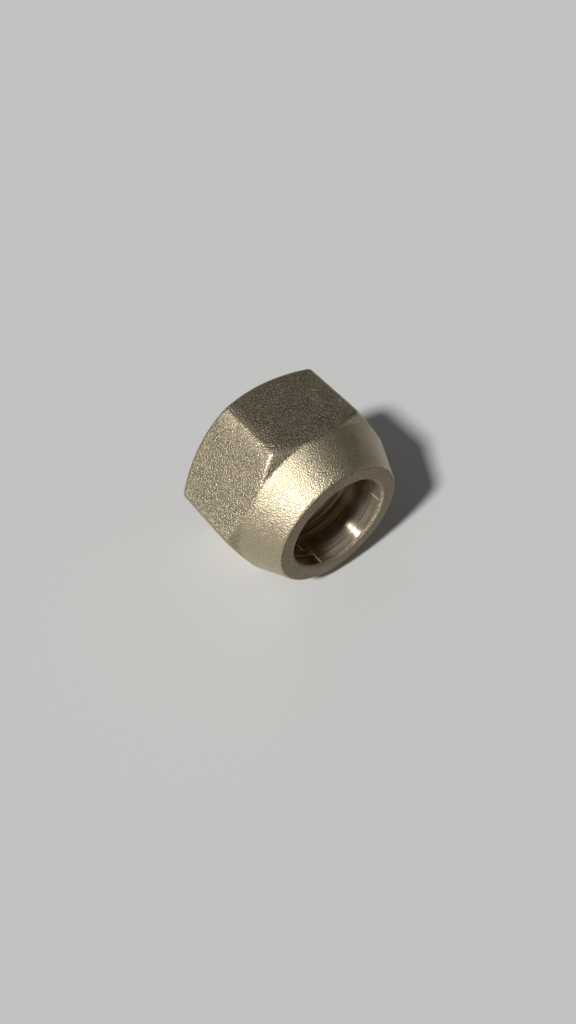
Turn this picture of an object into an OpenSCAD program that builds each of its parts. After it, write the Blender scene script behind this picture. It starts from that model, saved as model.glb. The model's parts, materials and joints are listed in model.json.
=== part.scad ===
// Forged brass flare nut, lying on one flat: the axis runs along Y and the nose points to -Y.
// Millimetres. The origin is under the middle of the nut, on the surface that it lies on.
// The tube sets the size: the bore goes round the tube, the thread and the hexagon round the bore.

/* [Tube bore] */
// Outside diameter of the tube
tube_d = 15.88; // [10:0.01:25]
// Free play of the tube in the bore, across the diameter
tube_clearance = 0.45; // [0.1:0.05:0.9]
// Width of the chamfer at the mouth of the bore
mouth_chamfer = 0.45; // [0.1:0.05:1]
// Length from the front ring to the inner end of the bore
bore_length = 7.4; // [4:0.1:10]

/* [Thread] */
// Width of the seat for the tube's flare, from the bore to the thread
seat_width = 2.09; // [1:0.01:3]
// Slope of that seat, measured from the axis
seat_angle = 45; // [35:1:60]
// Distance from one ridge of the right-hand thread to the next
thread_pitch = 1.814; // [1.7:0.001:2.4]
// Height of the thread's ridges
thread_depth = 0.86; // [0.5:0.01:1.1]
// Slope of the thread's flanks, measured from the plane across the axis
flank_angle = 30; // [20:1:34]
// Turns of plain wall between the thread and the seat
plain_turns = 0.5; // [0.3:0.1:1.5]
// Turns in which the thread gets shallower at its inner end
runout_turns = 0.75; // [0.25:0.05:1.5]
// How far the entry chamfer reaches past the thread's major diameter
entry_relief = 0.25; // [0:0.05:0.6]

/* [Hexagon] */
// Wall between the thread's major diameter and the flats, which gives the spanner size
flat_wall = 2.385; // [1.8:0.005:5]
// Rounding of the six long edges
edge_radius = 0.8; // [0.2:0.1:2]
// Length from the back face to the front ring
nut_length = 19.8; // [17:0.1:30]
// How much smaller the back face is than the distance across the flats
back_face_inset = 1.4; // [0.4:0.1:2.4]
// Slope of the chamfer round the back, measured from the back face
back_chamfer_angle = 31; // [15:1:40]

/* [Nose] */
// Length from the front ends of the hexagon's corners to the front ring
nose_length = 7.3; // [5:0.1:9]
// Slope of the shoulders in front of the corners, measured from the front ring
shoulder_angle = 32; // [15:1:40]
// How much larger the root of the cone is than the distance across the flats
cone_root_excess = 0.4; // [0:0.1:2]
// Width of the flat front ring, from the mouth of the bore to the cone
ring_width = 2.2; // [1.2:0.1:3.5]
// Rounding where the ring turns into the cone
ring_edge_radius = 0.3; // [0.1:0.1:0.8]

/* [Hidden] */

brass = [0.66, 0.58, 0.40];
$fn = 96;

// How far cutting and clipping shapes run past the surfaces that they meet
overrun = 1;
// How far the arc of a rounded edge reaches past the flats, which trim it
edge_overlap = 0.002;
// How far the thread's groove reaches into the hole that it is cut from
groove_overlap = 0.1;
// Sections of the groove in one turn
turn_steps = 36;

// Radii of the hole, from the bore outwards
bore_r = (tube_d + tube_clearance) / 2;
mouth_r = bore_r + mouth_chamfer;
thread_minor_r = bore_r + seat_width;
thread_major_r = thread_minor_r + thread_depth;
entry_r = thread_major_r + entry_relief;

// Radii of the outside
ring_r = mouth_r + ring_width;
flat_r = thread_major_r + flat_wall;
corner_r = flat_r / cos(30);
back_face_r = flat_r - back_face_inset / 2;
cone_root_r = flat_r + cone_root_excess / 2;
clip_r = corner_r + overrun;

// Places along the axis, from the middle of the nut towards the nose
front_z = nut_length / 2;
back_z = -front_z;
corner_end_z = front_z - nose_length;
cone_root_z = corner_end_z + (corner_r - cone_root_r) * tan(shoulder_angle);
bore_end_z = front_z - bore_length;
seat_end_z = bore_end_z - seat_width / tan(seat_angle);
thread_end_z = back_z + entry_r - thread_minor_r;

// The thread's groove, which starts one turn outside the back face
root_width = thread_pitch / 8;
groove_start_z = back_z - thread_pitch;
groove_turns = (seat_end_z - groove_start_z) / thread_pitch - plain_turns;
groove_steps = floor(groove_turns * turn_steps);

// Rounding between the ring and the cone
cone_half_angle = atan2(cone_root_r - ring_r, front_z - cone_root_z);
ring_edge_cut = ring_edge_radius * tan((90 - cone_half_angle) / 2);

// A hexagon with a corner on X, its corners rounded by true arcs
module rounded_hexagon() {
    centre_r = (flat_r - edge_radius) / cos(30);
    tangent_r = norm([flat_r, centre_r * sin(30)]);
    intersection() {
        circle(r = corner_r, $fn = 6);
        union() {
            circle(r = tangent_r);
            for (corner = [0:5])
                rotate(60 * corner)
                    translate([centre_r, 0])
                        circle(r = edge_radius + edge_overlap);
        }
    }
}

// The bar that the flats belong to
module hexagon_bar() {
    translate([0, 0, back_z])
        linear_extrude(height = nut_length)
            rounded_hexagon();
}

// The round form that clips the bar: back chamfer, shoulders, cone and front ring
module turned_form() {
    rotate_extrude() {
        polygon([
            [0, back_z],
            [back_face_r, back_z],
            [clip_r, back_z + (clip_r - back_face_r) * tan(back_chamfer_angle)],
            [clip_r, cone_root_z - (clip_r - cone_root_r) * tan(shoulder_angle)],
            [cone_root_r, cone_root_z],
            [ring_r + ring_edge_cut * sin(cone_half_angle), front_z - ring_edge_cut * cos(cone_half_angle)],
            [ring_r - ring_edge_cut, front_z],
            [0, front_z]
        ]);
        translate([ring_r - ring_edge_cut, front_z - ring_edge_radius])
            circle(r = ring_edge_radius);
    }
}

// The hole: mouth chamfer, tube bore, flare seat, the thread's minor diameter and entry chamfer
module hole() {
    rotate_extrude()
        polygon([
            [0, front_z + overrun],
            [mouth_r + overrun, front_z + overrun],
            [bore_r, front_z - mouth_chamfer],
            [bore_r, bore_end_z],
            [thread_minor_r, seat_end_z],
            [thread_minor_r, thread_end_z],
            [entry_r + overrun, back_z - overrun],
            [0, back_z - overrun]
        ]);
}

// Radius of the groove's root after a number of turns, which ends inside the hole
function root_r(turn) =
    let (
        end_r = thread_minor_r - groove_overlap / 2,
        share = min(1, (groove_turns - turn) / runout_turns)
    )
    end_r + (thread_major_r - end_r) * share;

// Corners of the groove's section after a number of turns
function groove_section(turn) =
    let (
        inner_r = thread_minor_r - groove_overlap,
        outer_r = root_r(turn),
        z = groove_start_z + thread_pitch * turn,
        outer_half = root_width / 2,
        inner_half = outer_half + (outer_r - inner_r) * tan(flank_angle),
        profile = [
            [inner_r, -inner_half],
            [outer_r, -outer_half],
            [outer_r, outer_half],
            [inner_r, inner_half]
        ]
    )
    [for (p = profile) [p[0] * cos(360 * turn), p[0] * sin(360 * turn), z + p[1]]];

// The right-hand helical groove between the thread's ridges
module thread_groove() {
    corners = len(groove_section(0));
    points = [for (step = [0:groove_steps]) each groove_section(step / turn_steps)];
    sides = [
        for (step = [0:groove_steps - 1], corner = [0:corners - 1])
            let (
                near = corners * step + corner,
                beside = corners * step + (corner + 1) % corners
            )
            each [
                [near, beside, beside + corners],
                [near, beside + corners, near + corners]
            ]
    ];
    first_end = [for (corner = [corners - 1:-1:0]) corner];
    last_end = [for (corner = [0:corners - 1]) corners * groove_steps + corner];
    polyhedron(points, concat(sides, [first_end, last_end]));
}

module flare_nut() {
    color(brass)
        translate([0, 0, flat_r])
            rotate([90, 0, 0])
                difference() {
                    intersection() {
                        hexagon_bar();
                        turned_form();
                    }
                    hole();
                    thread_groove();
                }
}

flare_nut();
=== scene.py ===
"""A forged and shot-blasted brass flare nut, lying on one flat with its nose towards the camera."""

import json
import math

import bpy
import numpy as np
from mathutils import Matrix, Vector, noise


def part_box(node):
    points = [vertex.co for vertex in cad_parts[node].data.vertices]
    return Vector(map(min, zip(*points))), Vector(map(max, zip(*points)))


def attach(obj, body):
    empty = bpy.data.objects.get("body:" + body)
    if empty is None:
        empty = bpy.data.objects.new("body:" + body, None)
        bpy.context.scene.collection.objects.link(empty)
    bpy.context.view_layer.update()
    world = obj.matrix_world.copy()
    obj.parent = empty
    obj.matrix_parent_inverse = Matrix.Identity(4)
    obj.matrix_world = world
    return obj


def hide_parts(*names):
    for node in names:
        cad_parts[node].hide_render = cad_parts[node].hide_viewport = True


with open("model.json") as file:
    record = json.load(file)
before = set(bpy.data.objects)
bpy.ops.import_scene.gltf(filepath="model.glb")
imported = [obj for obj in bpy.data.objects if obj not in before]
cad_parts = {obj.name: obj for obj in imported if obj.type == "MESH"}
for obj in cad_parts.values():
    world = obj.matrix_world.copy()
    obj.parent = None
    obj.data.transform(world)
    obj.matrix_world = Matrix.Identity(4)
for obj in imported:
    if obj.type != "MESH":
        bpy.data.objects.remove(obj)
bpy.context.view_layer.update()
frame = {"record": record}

# Millimetres are used for the shape: r is the distance from the nut's axis, a the place along
# the axis from the nut's middle towards the nose, and the angle goes round the axis from +X to +Z.
MM = 0.001

# One side of the hexagon and half of it, as angles round the axis
SECTOR = math.radians(60)
HALF_SECTOR = math.radians(30)

# Sizes that the frame gives
low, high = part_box("flare_nut")
mounts = {mount["name"]: mount for mount in frame["record"]["mounts"]}
bore = mounts["tube_bore"]
thread = mounts["fitting_thread"]
FLAT_R = (high.z - low.z) / 2 / MM
FRONT_A = (high.y - low.y) / 2 / MM
BACK_A = -FRONT_A
CORNER_R = FLAT_R / math.cos(HALF_SECTOR)
BORE_R = bore["dims"]["r_mm"]
BORE_FRONT_A = -bore["pos_m"][1] / MM + bore["dims"]["length_mm"] / 2
BORE_END_A = BORE_FRONT_A - bore["dims"]["length_mm"]
MOUTH_R = BORE_R + FRONT_A - BORE_FRONT_A
THREAD_MINOR_R = thread["dims"]["r_mm"]
SEAT_END_A = -thread["pos_m"][1] / MM + thread["dims"]["length_mm"] / 2
THREAD_END_A = SEAT_END_A - thread["dims"]["length_mm"]
ENTRY_R = THREAD_MINOR_R + THREAD_END_A - BACK_A

# The outside's own sizes
EDGE_RADIUS = 1.0
ROLL_OFF_WIDTH = 2.2
ROLL_OFF = math.radians(5)
BACK_FACE_INSET = 0.7
BACK_CHAMFER = math.radians(31)
NOSE_LENGTH = 7.3
SHOULDER = math.radians(32)
CONE_ROOT_EXCESS = 0.2
RING_WIDTH = 2.2

# Radii, places and the cone's slope that follow from them
BACK_FACE_R = FLAT_R - BACK_FACE_INSET
CORNER_END_A = FRONT_A - NOSE_LENGTH
CONE_ROOT_R = FLAT_R + CONE_ROOT_EXCESS
CONE_ROOT_A = CORNER_END_A + (CORNER_R - CONE_ROOT_R) * math.tan(SHOULDER)
RING_R = MOUTH_R + RING_WIDTH
CONE = math.atan2(CONE_ROOT_R - RING_R, FRONT_A - CONE_ROOT_A)

# How wide the forged and machined edges are rounded
CHAMFER_ROUNDING = 0.4
FLAT_END_ROUNDING = 0.12
SHOULDER_ROUNDING = 0.62
SHOULDER_TIP_ROUNDING = 0.12
ROOT_ROUNDING = 0.1
RING_ROUNDING = 0.4
BACK_ROUNDING = 0.2
CUT_ROUNDING = 0.04

# The forging's uneven surface: depth, and the width of its waves
RELIEF_DEPTH = 0.05
RELIEF_WIDTHS = (3.2, 1.3)

# The right-hand thread
PITCH = 1.814
THREAD_DEPTH = 0.86
FLANK = math.radians(30)
PLAIN_TURNS = 0.5
RUNOUT_TURNS = 0.75

# Columns round the nut: close together at the six edges of the hexagon
EDGE_DEGREES = 2.8
EDGE_COLUMNS = 11
FLAT_COLUMNS = 20

# Distances between the rows of the mesh, by the surface that they lie on
FACE_STEP = 0.25
END_EDGE_STEP = 0.06
CHAMFER_STEP = 0.1
FLAT_STEP = 0.3
SHOULDER_STEP = 0.09
CONE_STEP = 0.2
RING_EDGE_STEP = 0.08
LIP_STEP = 0.12
BORE_STEP = 0.6
SEAT_ROWS = 7
THREAD_STEP = 0.104

# Where those distances change on the outside, measured from its ends, edges and shoulders
END_GAP = 0.03
BACK_EDGE_GAP = 0.1
BACK_EDGE_ZONE = 0.3
CHAMFER_ZONE = 2.0
SHOULDER_LEAD = 0.4
SHOULDER_TAIL = 0.6
FRONT_EDGE_ZONE = 0.6
RING_EDGE_GAP = 0.08
RING_EDGE_ZONE = 0.4

# The one row on a rounded edge of the hole, as shares of the rounding: outwards and inwards
CUT_OUT = 0.3
CUT_IN = 0.1

# How far the rays along the axis reach, in half lengths of the nut, and how finely they are cut
RAY_REACH = 1.5
HALVINGS = 36


def column_angles():
    """The angles of the mesh's columns, in radians."""
    near = np.linspace(0, EDGE_DEGREES, EDGE_COLUMNS, endpoint=False)
    far = np.linspace(EDGE_DEGREES, 30, FLAT_COLUMNS, endpoint=False)
    half = np.concatenate([near, far])
    sector = np.concatenate([half, [30], 60 - half[:0:-1]])
    return np.radians(np.concatenate([sector + 60 * corner for corner in range(6)]))


def spaced(start, *runs):
    """Evenly spaced values through runs of (stop, step), without the last stop itself."""
    values = []
    for stop, step in runs:
        count = max(1, round(abs(stop - start) / step))
        values += list(np.linspace(start, stop, count, endpoint=False))
        start = stop
    return values


def smooth_step(x):
    """A soft step from 0 to 1 as x goes from 0 to 1."""
    x = np.clip(x, 0, 1)
    return x * x * (3 - 2 * x)


def smooth_max(first, second, width):
    """The larger of two distances, with the edge between them rounded."""
    share = np.clip(0.5 + 0.5 * (first - second) / width, 0, 1)
    return second + (first - second) * share + width * share * (1 - share)


def smooth_min(first, second, width):
    """The smaller of two distances, with the groove between them rounded."""
    return -smooth_max(-first, -second, width)


def hexagon_distance(r, angle):
    """Distance outside the rounded hexagon, and how far past the end of the flat."""
    off_middle = np.mod(angle, SECTOR) - HALF_SECTOR
    core = FLAT_R - EDGE_RADIUS
    height = r * np.cos(off_middle) - core
    past_end = np.abs(r * np.sin(off_middle)) - core * math.tan(HALF_SECTOR)
    rounded = np.hypot(height, np.maximum(past_end, 0))
    bend = math.tan(ROLL_OFF) / (2 * ROLL_OFF_WIDTH)
    rolled = bend * np.maximum(past_end + ROLL_OFF_WIDTH, 0) ** 2
    return np.where(past_end > 0, rounded, height) - EDGE_RADIUS + rolled, past_end


def shoulder_distance(r, a):
    """Distance in front of the shoulders' slope."""
    return (a - CONE_ROOT_A) * math.cos(SHOULDER) + (r - CONE_ROOT_R) * math.sin(SHOULDER)


def cone_distance(r, a):
    """Distance outside the nose's cone."""
    return (r - CONE_ROOT_R) * math.cos(CONE) + (a - CONE_ROOT_A) * math.sin(CONE)


def shoulder_rounding(angle):
    """How wide the shoulder's upper edge is rounded: most at the corner, least where it runs out."""
    off_middle = np.abs(np.mod(angle, SECTOR) - HALF_SECTOR)
    tip = math.acos(FLAT_R / CONE_ROOT_R)
    share = smooth_step((off_middle - tip) / (HALF_SECTOR - tip))
    return SHOULDER_TIP_ROUNDING + (SHOULDER_ROUNDING - SHOULDER_TIP_ROUNDING) * share


def outside_distance(r, a, angle, relief):
    """Distance outside the nut without its hole, with all edges rounded and the sides uneven."""
    flats, _ = hexagon_distance(r, angle)
    above_corner = smooth_max(flats, shoulder_distance(r, a), shoulder_rounding(angle))
    above_flat = smooth_max(flats, cone_distance(r, a), FLAT_END_ROUNDING)
    chamfer = (r - BACK_FACE_R) * math.sin(BACK_CHAMFER) - (a - BACK_A) * math.cos(BACK_CHAMFER)
    # Where both are the same, a rounded smallest lies a quarter of its width too far out
    body = smooth_min(above_corner, above_flat, ROOT_ROUNDING) + ROOT_ROUNDING / 4
    body = smooth_max(body, chamfer, CHAMFER_ROUNDING) + relief
    body = smooth_max(body, BACK_A - a, BACK_ROUNDING)
    return smooth_max(body, a - FRONT_A, RING_ROUNDING)


def solve_surface(start, along, angle, relief):
    """Points (r, a) where rays from inside the nut come out of it."""
    near = np.zeros(relief.shape)
    far = np.ones(relief.shape)
    for _ in range(HALVINGS):
        middle = (near + far) / 2
        r = start[0] + along[0] * middle
        a = start[1] + along[1] * middle
        inside = outside_distance(r, a, angle, relief) < 0
        near = np.where(inside, middle, near)
        far = np.where(inside, far, middle)
    return start[0] + along[0] * near, start[1] + along[1] * near


def to_world(r, a, angle):
    """Points in metres in the frame: the nut's axis lies along Y, at the height of half its flats."""
    x = r * np.cos(angle)
    z = FLAT_R + r * np.sin(angle)
    return np.stack([x, -a, z], axis=-1) * MM


def forging_relief(points):
    """How far the forged surface lies under the true form, in millimetres, never above it."""
    flat = points.reshape(-1, 3) / MM
    share = RELIEF_DEPTH / len(RELIEF_WIDTHS)
    total = np.zeros(len(flat))
    for width in RELIEF_WIDTHS:
        values = [noise.noise(Vector(point) / width) for point in flat]
        total += share * np.clip(0.5 + 0.5 * np.array(values), 0, 1)
    return total.reshape(points.shape[:-1])


def outside_rays():
    """Rays in (r, a) from inside the nut to its outside: their starts, spans and bands."""
    back_face = spaced(ENTRY_R + CUT_ROUNDING, (BACK_FACE_R - BACK_EDGE_GAP, FACE_STEP))
    sides = spaced(
        BACK_A + END_GAP,
        (BACK_A + BACK_EDGE_ZONE, END_EDGE_STEP),
        (BACK_A + CHAMFER_ZONE, CHAMFER_STEP),
        (CORNER_END_A - SHOULDER_LEAD, FLAT_STEP),
        (CONE_ROOT_A + SHOULDER_TAIL, SHOULDER_STEP),
        (FRONT_A - FRONT_EDGE_ZONE, CONE_STEP),
        (FRONT_A - END_GAP, END_EDGE_STEP),
    )
    ring = spaced(
        RING_R - RING_EDGE_GAP,
        (RING_R - RING_EDGE_ZONE, RING_EDGE_STEP),
        (MOUTH_R + CUT_ROUNDING, FACE_STEP),
    )
    rays = [((r, 0), (0, RAY_REACH * BACK_A)) for r in back_face]
    rays += [((BORE_R / 2, a), (CORNER_R, 0)) for a in sides]
    rays += [((r, 0), (0, RAY_REACH * FRONT_A)) for r in ring]
    start, along = np.array(rays).transpose(1, 2, 0)[..., np.newaxis]
    bands = ["back"] * len(back_face) + ["forged"] * len(sides) + ["ring"] * len(ring)
    return start, along, bands


def outside_rows(angle):
    """Rows of (r, a) from the back face over the flats and the nose to the front ring."""
    start, along, bands = outside_rays()
    even = np.zeros((len(bands), len(angle)))
    r, a = solve_surface(start, along, angle, even)
    relief = forging_relief(to_world(r, a, angle))
    r, a = solve_surface(start, along, angle, relief)
    return r, a, bands


def thread_radius(a, angle):
    """Radius of the thread's wall: a 60 degree profile with flat crests and roots."""
    turns = (a - BACK_A) / PITCH - angle / (2 * math.pi)
    off_crest = PITCH * np.abs(np.mod(turns, 1) - 0.5)
    half_root = PITCH / 16
    flank = THREAD_DEPTH * math.tan(FLANK)
    half_crest = PITCH / 2 - half_root - flank
    rise = np.clip((off_crest - half_crest) / flank, 0, 1)
    rise = 0.5 * rise + 0.5 * smooth_step(rise)
    turns_left = (SEAT_END_A - a) / PITCH - PLAIN_TURNS
    full = np.clip(turns_left / RUNOUT_TURNS, 0, 1)
    return THREAD_MINOR_R + THREAD_DEPTH * rise * full


def hole_rows(angle):
    """Rows of (r, a) from the mouth of the bore through the seat and the thread to the back face."""
    cut = CUT_ROUNDING
    rows = [("lip", MOUTH_R + CUT_OUT * cut, FRONT_A - CUT_IN * cut)]
    for depth in spaced(cut / 2, (FRONT_A - BORE_FRONT_A - cut, LIP_STEP)):
        rows.append(("lip", MOUTH_R - depth, FRONT_A - depth))
    rows.append(("bore", BORE_R + CUT_OUT * cut, BORE_FRONT_A - CUT_IN * cut))
    for place in spaced(BORE_FRONT_A - cut, (BORE_END_A + cut, BORE_STEP)):
        rows.append(("bore", BORE_R, place))
    rows.append(("bore", BORE_R, BORE_END_A + cut))
    for share in np.linspace(cut, 1 - cut, SEAT_ROWS):
        radius = BORE_R + (THREAD_MINOR_R - BORE_R) * share
        rows.append(("bore", radius, BORE_END_A + (SEAT_END_A - BORE_END_A) * share))
    for place in spaced(SEAT_END_A - cut, (BACK_A + cut, THREAD_STEP)):
        chamfer = ENTRY_R - (place - BACK_A)
        rows.append(("thread", np.maximum(thread_radius(place, angle), chamfer), place))
    rows.append(("thread", ENTRY_R - cut / 2, BACK_A + cut / 2))
    bands, radii, places = zip(*rows)
    r = np.array([np.broadcast_to(radius, angle.shape) for radius in radii])
    a = np.array([np.full(angle.shape, place) for place in places])
    return r, a, list(bands)


# How wide the outside's finishes blend: the nose's at its root and at its edges, the rims' across
# and along themselves, and the rubbed edges' over the flats. Points far inside are never rubbed.
NOSE_ROOT_BLEND = 0.3
NOSE_EDGE_BLEND = 0.6
RIM_BLEND = 0.35
RIM_END_BLEND = 0.4
EDGE_BLEND = 1.8
EDGE_DEPTH = 0.3


def surface_shares(r, a, angle):
    """How much of each point belongs to the shoulders' rims, the nose's cone and the rubbed edges."""
    flats, past_end = hexagon_distance(r, angle)
    shoulder = shoulder_distance(r, a)
    cone = cone_distance(r, a)
    front = np.minimum(shoulder, cone)
    nose = smooth_step(0.5 + (shoulder - cone) / NOSE_ROOT_BLEND)
    nose = nose * smooth_step(0.5 + (front - flats) / NOSE_EDGE_BLEND)
    rim = smooth_step(1 - np.abs(front - flats) / RIM_BLEND)
    rim = rim * smooth_step((cone - shoulder) / RIM_END_BLEND)
    edge = smooth_step(1 + past_end / EDGE_BLEND) * (flats > -EDGE_DEPTH)
    return {"rim": rim, "nose": nose, "edge": np.maximum(edge, rim)}


def grid_faces(row_count, column_count):
    """The corners of the faces of a grid that closes on itself both ways."""
    index = np.arange(row_count * column_count).reshape(row_count, column_count)
    beside = np.roll(index, -1, axis=1)
    above = np.roll(index, -1, axis=0)
    across = np.roll(beside, -1, axis=0)
    return np.stack([index, beside, across, above], axis=-1).reshape(-1, 4)


def nut_mesh(materials):
    """The whole nut as one closed grid that runs over the outside and back through the hole."""
    angle = column_angles()
    outer_r, outer_a, outer_bands = outside_rows(angle)
    inner_r, inner_a, inner_bands = hole_rows(angle)
    r = np.concatenate([outer_r, inner_r])
    a = np.concatenate([outer_a, inner_a])
    row_count, column_count = r.shape
    points = to_world(r, a, angle)
    faces = grid_faces(row_count, column_count)

    mesh = bpy.data.meshes.new("flare_nut_finish")
    mesh.from_pydata(points.reshape(-1, 3).tolist(), [], faces.tolist())
    for material in materials.values():
        mesh.materials.append(material)
    slots = [list(materials).index(band) for band in outer_bands + inner_bands]
    mesh.polygons.foreach_set("material_index", np.repeat(slots, column_count))
    mesh.polygons.foreach_set("use_smooth", np.ones(len(faces), bool))

    outside = np.arange(row_count)[:, np.newaxis] < len(outer_bands)
    for name, share in surface_shares(r, a, angle).items():
        layer = mesh.attributes.new(name, "FLOAT", "POINT")
        layer.data.foreach_set("value", (share * outside).astype(np.float32).ravel())
    mesh.validate()
    mesh.update()
    return mesh


# The sockets of a Mix node that take and give colours
MIX_FIRST = 6
MIX_SECOND = 7
MIX_RESULT = 2

# Turns the gloss from along the turning marks to across them
QUARTER_TURN = 0.25


class Graph:
    """A material's nodes, with short ways to add the kinds that are used here."""

    def __init__(self, name):
        self.material = bpy.data.materials.new(name)
        self.material.use_nodes = True
        self.tree = self.material.node_tree
        self.shader = self.tree.nodes["Principled BSDF"]
        coordinates = self.add("ShaderNodeTexCoord").outputs["Object"]
        scale = self.add("ShaderNodeVectorMath", operation="SCALE")
        self.link(coordinates, scale.inputs[0])
        scale.inputs["Scale"].default_value = 1 / MM
        self.place = scale.outputs[0]

    def add(self, kind, **settings):
        made = self.tree.nodes.new(kind)
        for name, value in settings.items():
            setattr(made, name, value)
        return made

    def link(self, source, target):
        self.tree.links.new(source, target)

    def feed(self, target, value):
        """Gives a socket its value: another socket's, or a plain one."""
        if isinstance(value, bpy.types.NodeSocket):
            self.link(value, target)
        else:
            target.default_value = value

    def noise(self, size, detail=2.0, roughness=0.5, place=None):
        """Noise with features of about that many millimetres, from 0 to 1."""
        made = self.add("ShaderNodeTexNoise")
        self.link(place or self.place, made.inputs["Vector"])
        made.inputs["Scale"].default_value = 1 / size
        made.inputs["Detail"].default_value = detail
        made.inputs["Roughness"].default_value = roughness
        return made.outputs["Fac"]

    def round_axis(self, squeeze):
        """The place squeezed across the nut's axis, so that noise there runs round the axis."""
        made = self.add("ShaderNodeVectorMath", operation="MULTIPLY")
        self.link(self.place, made.inputs[0])
        made.inputs[1].default_value = (squeeze, 1.0, squeeze)
        return made.outputs[0]

    def math(self, operation, first, second):
        made = self.add("ShaderNodeMath", operation=operation)
        self.feed(made.inputs[0], first)
        self.feed(made.inputs[1], second)
        return made.outputs[0]

    def times(self, first, second):
        return self.math("MULTIPLY", first, second)

    def ramp(self, value, from_low, from_high, to_low=0.0, to_high=1.0):
        """A value moved from one range to another and kept inside it."""
        made = self.add("ShaderNodeMapRange")
        self.link(value, made.inputs["Value"])
        made.inputs["From Min"].default_value = from_low
        made.inputs["From Max"].default_value = from_high
        made.inputs["To Min"].default_value = to_low
        made.inputs["To Max"].default_value = to_high
        return made.outputs["Result"]

    def mix(self, share, first, second):
        """Colour between two colours."""
        made = self.add("ShaderNodeMix", data_type="RGBA")
        self.feed(made.inputs["Factor"], share)
        self.feed(made.inputs[MIX_FIRST], first)
        self.feed(made.inputs[MIX_SECOND], second)
        return made.outputs[MIX_RESULT]

    def dot(self, direction):
        """Millimetres along a direction of the frame."""
        made = self.add("ShaderNodeVectorMath", operation="DOT_PRODUCT")
        self.link(self.place, made.inputs[0])
        made.inputs[1].default_value = direction
        return made.outputs["Value"]

    def depth(self):
        """Millimetres behind the front ring."""
        return self.math("ADD", self.dot((0, 1, 0)), FRONT_A)

    def toward(self, degrees):
        """Millimetres away from the nut's axis, towards an angle round it."""
        turn = math.radians(degrees)
        along = self.dot((math.cos(turn), 0, math.sin(turn)))
        return self.math("SUBTRACT", along, FLAT_R * math.sin(turn))

    def off(self, value, middle):
        """How far a value is from a middle, either way."""
        return self.math("ABSOLUTE", self.math("SUBTRACT", value, middle), 0.0)

    def share(self, name):
        """One of the mesh's own values, from 0 to 1."""
        made = self.add("ShaderNodeAttribute", attribute_name=name)
        return made.outputs["Fac"]

    def bump(self, height, depth, strength=1.0):
        """Bump of that depth in millimetres."""
        made = self.add("ShaderNodeBump")
        made.inputs["Distance"].default_value = depth * MM
        self.feed(made.inputs["Strength"], strength)
        self.link(height, made.inputs["Height"])
        return made.outputs["Normal"]

    def brush(self, amount):
        """Draws the gloss out as fine turning marks round the nut's axis do."""
        tangent = self.add("ShaderNodeTangent", direction_type="RADIAL", axis="Y")
        self.link(tangent.outputs["Tangent"], self.shader.inputs["Tangent"])
        self.shader.inputs["Anisotropic"].default_value = amount
        self.shader.inputs["Anisotropic Rotation"].default_value = QUARTER_TURN

    def finish(self, colour, roughness, normal, metallic=1.0):
        self.feed(self.shader.inputs["Metallic"], metallic)
        self.feed(self.shader.inputs["Base Color"], colour)
        self.feed(self.shader.inputs["Roughness"], roughness)
        self.link(normal, self.shader.inputs["Normal"])
        return self.material


# The blasted forging: sizes of its grain, pits and clouds, and their heights
BLAST_GRAIN = 0.19
BLAST_PITS = 0.21
BLAST_CLOUDS = 2.6
GRAIN_HEIGHT = 0.8
PIT_HEIGHT = 0.32
BLAST_BUMP = 0.12

# Its colours, and how much of the last three shows
HOLLOW_COLOUR = (0.288, 0.237, 0.162, 1)
PEAK_COLOUR = (0.645, 0.554, 0.400, 1)
CLOUD_COLOUR = (0.48, 0.406, 0.268, 1)
RUBBED_COLOUR = (0.86, 0.75, 0.54, 1)
NOSE_COLOUR = (0.69, 0.588, 0.408, 1)
CLOUD_SHARE = 0.2
RUBBED_SHARE = 0.2
NOSE_SHARE = 0.4

# Its roughness, what the nose adds to it, and how much flatter the grain is on rims and nose
BLAST_ROUGHNESS = (0.34, 0.41)
NOSE_ROUGHNESS = 0.045
RIM_CALM = 0.85
NOSE_CALM = 0.3


def blasted_brass():
    """The forged outside: shot-blasted grain, smoother on the shoulders' rims and on the nose."""
    graph = Graph("blasted_brass")
    grain = graph.noise(BLAST_GRAIN, detail=2.0, roughness=0.75)
    pits = graph.ramp(graph.noise(BLAST_PITS, detail=0.5), 0.40, 0.62)
    clouds = graph.noise(BLAST_CLOUDS)
    rim = graph.share("rim")
    nose = graph.share("nose")
    edge = graph.share("edge")
    height = graph.math("ADD", graph.times(grain, GRAIN_HEIGHT), graph.times(pits, PIT_HEIGHT))
    colour = graph.mix(graph.ramp(height, 0.36, 0.80), HOLLOW_COLOUR, PEAK_COLOUR)
    colour = graph.mix(graph.ramp(clouds, 0.35, 0.65, 0.0, CLOUD_SHARE), colour, CLOUD_COLOUR)
    colour = graph.mix(graph.times(edge, RUBBED_SHARE), colour, RUBBED_COLOUR)
    colour = graph.mix(graph.times(nose, NOSE_SHARE), colour, NOSE_COLOUR)
    roughness = graph.ramp(clouds, 0.3, 0.7, *BLAST_ROUGHNESS)
    roughness = graph.math("ADD", roughness, graph.times(nose, NOSE_ROUGHNESS))
    calm = graph.math("MAXIMUM", graph.times(rim, RIM_CALM), graph.times(nose, NOSE_CALM))
    normal = graph.bump(height, BLAST_BUMP, graph.math("SUBTRACT", 1.0, calm))
    return graph.finish(colour, roughness, normal)


# The front ring: sizes of its grain and clouds, colours, roughness and depth of the grain
RING_GRAIN = 0.18
RING_CLOUDS = 1.8
RING_HOLLOW_COLOUR = (0.08, 0.063, 0.04, 1)
RING_PEAK_COLOUR = (0.38, 0.308, 0.203, 1)
RING_ROUGHNESS = (0.40, 0.5)
RING_BUMP = 0.10


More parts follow.
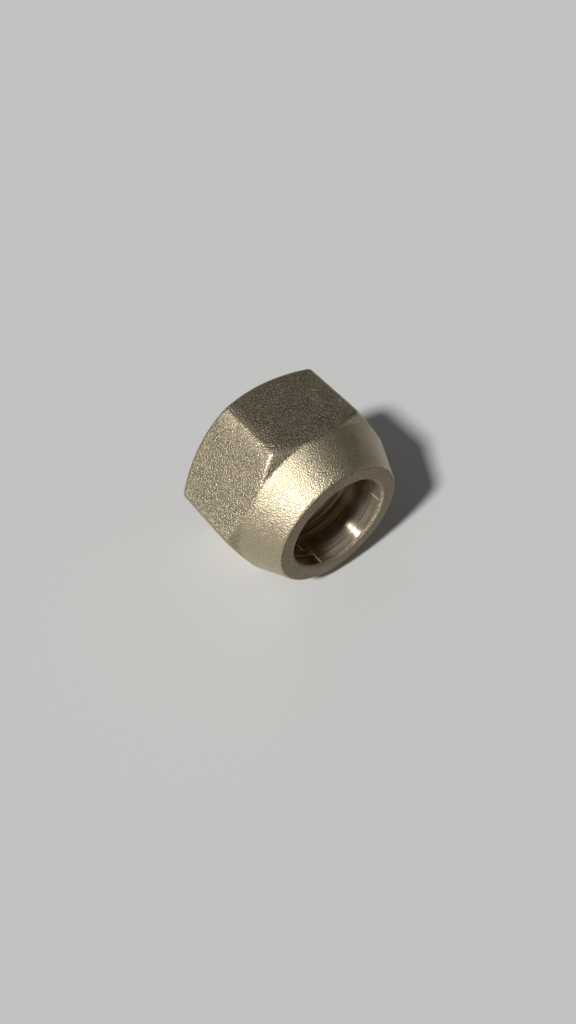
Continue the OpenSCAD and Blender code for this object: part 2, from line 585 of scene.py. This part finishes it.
def satin_ring():
    """The front ring: the same brass with a finer and flatter grain."""
    graph = Graph("satin_brass")
    grain = graph.noise(RING_GRAIN, detail=1.0)
    colour = graph.mix(graph.ramp(grain, 0.35, 0.65), RING_HOLLOW_COLOUR, RING_PEAK_COLOUR)
    roughness = graph.ramp(graph.noise(RING_CLOUDS), 0.3, 0.7, *RING_ROUGHNESS)
    return graph.finish(colour, roughness, graph.bump(grain, RING_BUMP))


# The side of the mouth and the bore that faces the key lamp, where light is painted into the colour:
# its angle round the axis, and between which shares of the radius towards it the painted light sets in
PAINTED_LIGHT_DIRECTION = -36
LIP_PAINTED_LIGHT_RANGE = (0.55, 0.85)
BORE_PAINTED_LIGHT_RANGE = (0.25, 0.65)

# How metallic satin brass looks: the rest of its light is scattered evenly
SATIN_METALLIC = 0.75


def painted_light_side(graph, radius, painted_light_range):
    """1 on the side of the mouth or the bore that faces the key lamp, where light is painted, and 0
    away from it.
    """
    return graph.ramp(graph.toward(PAINTED_LIGHT_DIRECTION), painted_light_range[0] * radius, painted_light_range[1] * radius)


# The line of burrs on the mouth's chamfer, painted bright as glints on the key lamp's side: its place
# behind the front ring, and half its width
LIP_LINE = 0.2
LIP_LINE_WIDTH = 0.14

# The chamfer's grain, its colours (the lighter one is painted light on the side that faces the key
# lamp, the burrs' one a painted glint), and its roughness beside the burrs and on them
LIP_GRAIN = 0.28
LIP_BUMP = 0.08
LIP_COLOUR = (0.36, 0.30, 0.20, 1)
PAINTED_LIGHT_LIP_COLOUR = (0.44, 0.37, 0.26, 1)
LIP_HOLLOW_COLOUR = (0.05, 0.04, 0.025, 1)
BURR_GLINT_COLOUR = (0.90, 0.80, 0.58, 1)
LIP_ROUGHNESS = (0.48, 0.3)


def chamfered_brass():
    """The mouth's chamfer: satin brass, lighter with painted light on the side that faces the key
    lamp, with a rough line of burrs there painted bright as glints.
    """
    graph = Graph("chamfered_brass")
    grain = graph.noise(LIP_GRAIN, detail=1.0)
    off_line = graph.times(graph.off(graph.depth(), LIP_LINE), 1 / LIP_LINE_WIDTH)
    line = graph.math("SUBTRACT", 1.0, off_line)
    # painted light: 1 where the mouth's chamfer faces the key lamp
    painted_light_share = painted_light_side(graph, MOUTH_R, LIP_PAINTED_LIGHT_RANGE)
    burr_glints = graph.times(graph.ramp(grain, 0.50, 0.62), painted_light_share)
    burr_glints = graph.times(burr_glints, graph.ramp(line, 0.0, 0.6))
    # painted light: the chamfer's colour is lighter on the side that faces the key lamp
    satin_and_painted_light = graph.mix(painted_light_share, LIP_COLOUR, PAINTED_LIGHT_LIP_COLOUR)
    colour = graph.mix(grain, graph.mix(0.5, satin_and_painted_light, LIP_HOLLOW_COLOUR), satin_and_painted_light)
    # painted glints: the burrs on the side that faces the key lamp are coloured bright
    colour = graph.mix(burr_glints, colour, BURR_GLINT_COLOUR)
    roughness = graph.ramp(burr_glints, 0.0, 1.0, *LIP_ROUGHNESS)
    return graph.finish(colour, roughness, graph.bump(grain, LIP_BUMP), SATIN_METALLIC)


# Scratches along the bore, their bright colour partly a painted glint: angle round the axis, and the
# depths where each starts and stops
SCRATCHES = ((-2, 0.4, 2.4), (-106, 0.4, 2.8), (-114.5, 3.6, 5.2))
SCRATCH_WIDTH = 0.14
SCRATCH_FADE = 0.3
SCRATCH_GLINT_COLOUR = (1.0, 0.90, 0.70, 1)
SCRATCH_ROUGHNESS = 0.62


def scratch(graph, degrees, start, stop):
    """A fine scratch along the bore at one angle, between two depths: 1 on it and 0 beside it."""
    beside = graph.off(graph.toward(degrees + 90), 0.0)
    line = graph.ramp(beside, SCRATCH_WIDTH / 2, SCRATCH_WIDTH, 1.0, 0.0)
    this_side = graph.math("GREATER_THAN", graph.toward(degrees), 0.0)
    middle = (start + stop) / 2
    half = (stop - start) / 2
    length = graph.ramp(graph.off(graph.depth(), middle), half - SCRATCH_FADE, half, 1.0, 0.0)
    return graph.times(graph.times(line, this_side), length)


# Turning marks in the bore: how long they are drawn, the sizes of grooves and bands, and depth
BORE_SQUEEZE = 0.03
BORE_GROOVES = 0.3
BORE_BANDS = 1.1
BORE_BRUSH = 1.0
TURNING_BUMP = 0.012

# Depths in the bore between which its satin finish, lighter with painted light, turns into a shinier
# one, darker with painted shade
PAINTED_LIGHT_TO_SHADE_DEPTHS = (2.8, 4.6)

# The bore's colours, each from smooth to rough streaks (the satin ones lighter with painted light, the
# deep ones darker with painted shade), and its roughness on them
SATIN_PAINTED_LIGHT_COLOURS = ((0.56, 0.48, 0.36, 1), (0.24, 0.195, 0.135, 1))
DEEP_PAINTED_SHADE_COLOURS = ((0.23, 0.15, 0.072, 1), (0.13, 0.082, 0.036, 1))
BAND_COLOUR = (0.36, 0.25, 0.135, 1)
STREAK_ROUGHNESS = (0.22, 0.56)


def turned_bore():
    """The tube's bore: turning marks, satin and lighter with painted light at the mouth on the key
    lamp's side, darker with painted shade and shinier elsewhere.
    """
    graph = Graph("turned_brass")
    marks = graph.round_axis(BORE_SQUEEZE)
    grooves = graph.noise(BORE_GROOVES, detail=3.0, roughness=0.7, place=marks)
    streaks = graph.ramp(grooves, 0.40, 0.60)
    bands = graph.ramp(graph.noise(BORE_BANDS, detail=1.0, place=marks), 0.48, 0.62)
    near_mouth = graph.ramp(graph.depth(), *PAINTED_LIGHT_TO_SHADE_DEPTHS, 1.0, 0.0)
    # painted light: the satin share is lighter near the mouth on the side that faces the key lamp
    satin_and_painted_light = graph.times(painted_light_side(graph, BORE_R, BORE_PAINTED_LIGHT_RANGE), near_mouth)
    scratches_and_glints = 0.0
    for degrees, start, stop in SCRATCHES:
        scratches_and_glints = graph.math("MAXIMUM", scratches_and_glints, scratch(graph, degrees, start, stop))

    # painted shade: deeper in the bore and away from the lamp's side the colour is darker
    deep_painted_shade = graph.mix(bands, graph.mix(streaks, *DEEP_PAINTED_SHADE_COLOURS), BAND_COLOUR)
    colour = graph.mix(satin_and_painted_light, deep_painted_shade, graph.mix(streaks, *SATIN_PAINTED_LIGHT_COLOURS))
    # partly painted glint: the scratches are coloured near white
    colour = graph.mix(scratches_and_glints, colour, SCRATCH_GLINT_COLOUR)
    roughness = graph.ramp(streaks, 0.0, 1.0, *STREAK_ROUGHNESS)
    roughness = graph.math("MAXIMUM", roughness, graph.times(scratches_and_glints, SCRATCH_ROUGHNESS))
    metallic = graph.ramp(graph.math("MAXIMUM", satin_and_painted_light, scratches_and_glints), 0.0, 1.0, 1.0, SATIN_METALLIC)
    graph.brush(BORE_BRUSH)
    return graph.finish(colour, roughness, graph.bump(grooves, TURNING_BUMP), metallic)


# Turning marks on the thread and the back face, and how far the roughness goes down and up on them
CUT_SQUEEZE = 0.05
CUT_GROOVES = 0.12
CUT_CLOUDS = 1.6
CUT_BRUSH = 0.6
SMOOTHER = 0.16
ROUGHER = 0.24

# Colours of the thread and the back face, fresh and worn, and their roughness
THREAD_COLOURS = ((0.62, 0.47, 0.27, 1), (0.52, 0.38, 0.22, 1))
THREAD_ROUGHNESS = 0.3
BACK_COLOURS = ((0.70, 0.58, 0.36, 1), (0.60, 0.48, 0.29, 1))
BACK_ROUGHNESS = 0.32


def machined_brass(name, colours, roughness):
    """Turned brass: fine grooves that run round the axis."""
    graph = Graph(name)
    marks = graph.round_axis(CUT_SQUEEZE)
    grooves = graph.noise(CUT_GROOVES, detail=2.0, roughness=0.6, place=marks)
    colour = graph.mix(graph.noise(CUT_CLOUDS, detail=3.0), *colours)
    uneven = graph.ramp(grooves, 0.35, 0.65, roughness - SMOOTHER, roughness + ROUGHER)
    graph.brush(CUT_BRUSH)
    return graph.finish(colour, uneven, graph.bump(grooves, TURNING_BUMP))


def make_nut():
    """The nut's one piece, with a finish for each band of its rows."""
    materials = {
        "forged": blasted_brass(),
        "ring": satin_ring(),
        "lip": chamfered_brass(),
        "bore": turned_bore(),
        "thread": machined_brass("threaded_brass", THREAD_COLOURS, THREAD_ROUGHNESS),
        "back": machined_brass("faced_brass", BACK_COLOURS, BACK_ROUGHNESS),
    }
    nut = bpy.data.objects.new("flare_nut_finish", nut_mesh(materials))
    bpy.context.scene.collection.objects.link(nut)
    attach(nut, "root")
    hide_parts("flare_nut")


# The floor, in metres
FLOOR_RADIUS = 3.0
FLOOR_CORNERS = 96
FLOOR_COLOUR = (0.57, 0.57, 0.56, 1)
FLOOR_ROUGHNESS = 0.9
FLOOR_SPECULAR = 0.2


def make_floor():
    """A plain pale floor, which isn't part of the nut."""
    bpy.ops.mesh.primitive_circle_add(vertices=FLOOR_CORNERS, radius=FLOOR_RADIUS, fill_type="NGON")
    floor = bpy.context.object
    floor.name = "floor"
    material = bpy.data.materials.new("pale_floor")
    material.use_nodes = True
    shader = material.node_tree.nodes["Principled BSDF"]
    shader.inputs["Base Color"].default_value = FLOOR_COLOUR
    shader.inputs["Roughness"].default_value = FLOOR_ROUGHNESS
    shader.inputs["Specular IOR Level"].default_value = FLOOR_SPECULAR
    floor.data.materials.append(material)


# The key lamp: where it stands, how wide it looks and how strong it is
KEY_DIRECTION = Vector((-0.692, -0.163, 0.704))
KEY_ANGLE = math.radians(6)
KEY_STRENGTH = 3.6


def make_key():
    """The key lamp, a sun with a soft edge."""
    lamp = bpy.data.lights.new("key", "SUN")
    lamp.angle = KEY_ANGLE
    lamp.energy = KEY_STRENGTH
    key = bpy.data.objects.new("key", lamp)
    key.rotation_euler = KEY_DIRECTION.to_track_quat("Z", "Y").to_euler()
    bpy.context.scene.collection.objects.link(key)


# The light all round, by the height that it comes from, and its strength on the key lamp's side
# and on the other
HORIZON_LIGHT = 0.30
LOW_LIGHT = 0.13
LOW_HEIGHT = 0.2
ZENITH_LIGHT = 0.24
ZENITH_HEIGHT = 0.75
KEY_SIDE = 1.0
FAR_SIDE = 0.3


def grey(level):
    return (level, level, level, 1)


def make_world():
    """Soft grey light from all round."""
    world = bpy.data.worlds.new("studio")
    world.use_nodes = True
    tree = world.node_tree
    background = tree.nodes["Background"]
    direction = tree.nodes.new("ShaderNodeTexCoord").outputs["Generated"]
    parts = tree.nodes.new("ShaderNodeSeparateXYZ")
    tree.links.new(direction, parts.inputs[0])

    fade = tree.nodes.new("ShaderNodeValToRGB")
    fade.color_ramp.interpolation = "EASE"
    fade.color_ramp.elements[0].color = grey(HORIZON_LIGHT)
    fade.color_ramp.elements[1].color = grey(ZENITH_LIGHT)
    fade.color_ramp.elements[1].position = ZENITH_HEIGHT
    fade.color_ramp.elements.new(LOW_HEIGHT).color = grey(LOW_LIGHT)
    tree.links.new(parts.outputs["Z"], fade.inputs["Fac"])
    tree.links.new(fade.outputs["Color"], background.inputs["Color"])

    side = tree.nodes.new("ShaderNodeMapRange")
    side.inputs["From Min"].default_value = -1.0
    side.inputs["To Min"].default_value = KEY_SIDE
    side.inputs["To Max"].default_value = FAR_SIDE
    tree.links.new(parts.outputs["X"], side.inputs["Value"])
    tree.links.new(side.outputs["Result"], background.inputs["Strength"])
    bpy.context.scene.world = world


# The camera: where it looks, from which side, how far off and how wide
AIM = Vector((-3.10, -1.73, 10.71)) * MM
AIM_DISTANCE = 130.2 * MM
VIEW_AZIMUTH = math.radians(41.07)
VIEW_DOWN = math.radians(50.18)
VIEW_ROLL = math.radians(4.42)
LENS = 30.11
SENSOR = 36.0
CLIP_START = 0.005


def make_camera():
    """The camera at the photo's viewing angle."""
    level = math.cos(VIEW_DOWN)
    forward = Vector((
        math.sin(VIEW_AZIMUTH) * level,
        math.cos(VIEW_AZIMUTH) * level,
        -math.sin(VIEW_DOWN),
    ))
    side = Vector((math.cos(VIEW_AZIMUTH), -math.sin(VIEW_AZIMUTH), 0))
    top = side.cross(forward)
    right = side * math.cos(VIEW_ROLL) + top * math.sin(VIEW_ROLL)
    up = top * math.cos(VIEW_ROLL) - side * math.sin(VIEW_ROLL)
    data = bpy.data.cameras.new("camera")
    data.lens = LENS
    data.sensor_width = SENSOR
    data.clip_start = CLIP_START
    camera = bpy.data.objects.new("camera", data)
    turn = Matrix((right, up, -forward)).transposed()
    camera.matrix_world = Matrix.Translation(AIM - forward * AIM_DISTANCE) @ turn.to_4x4()
    bpy.context.scene.collection.objects.link(camera)
    bpy.context.scene.camera = camera


make_nut()
make_floor()
make_key()
make_world()
make_camera()
bpy.context.scene.view_settings.view_transform = "Standard"
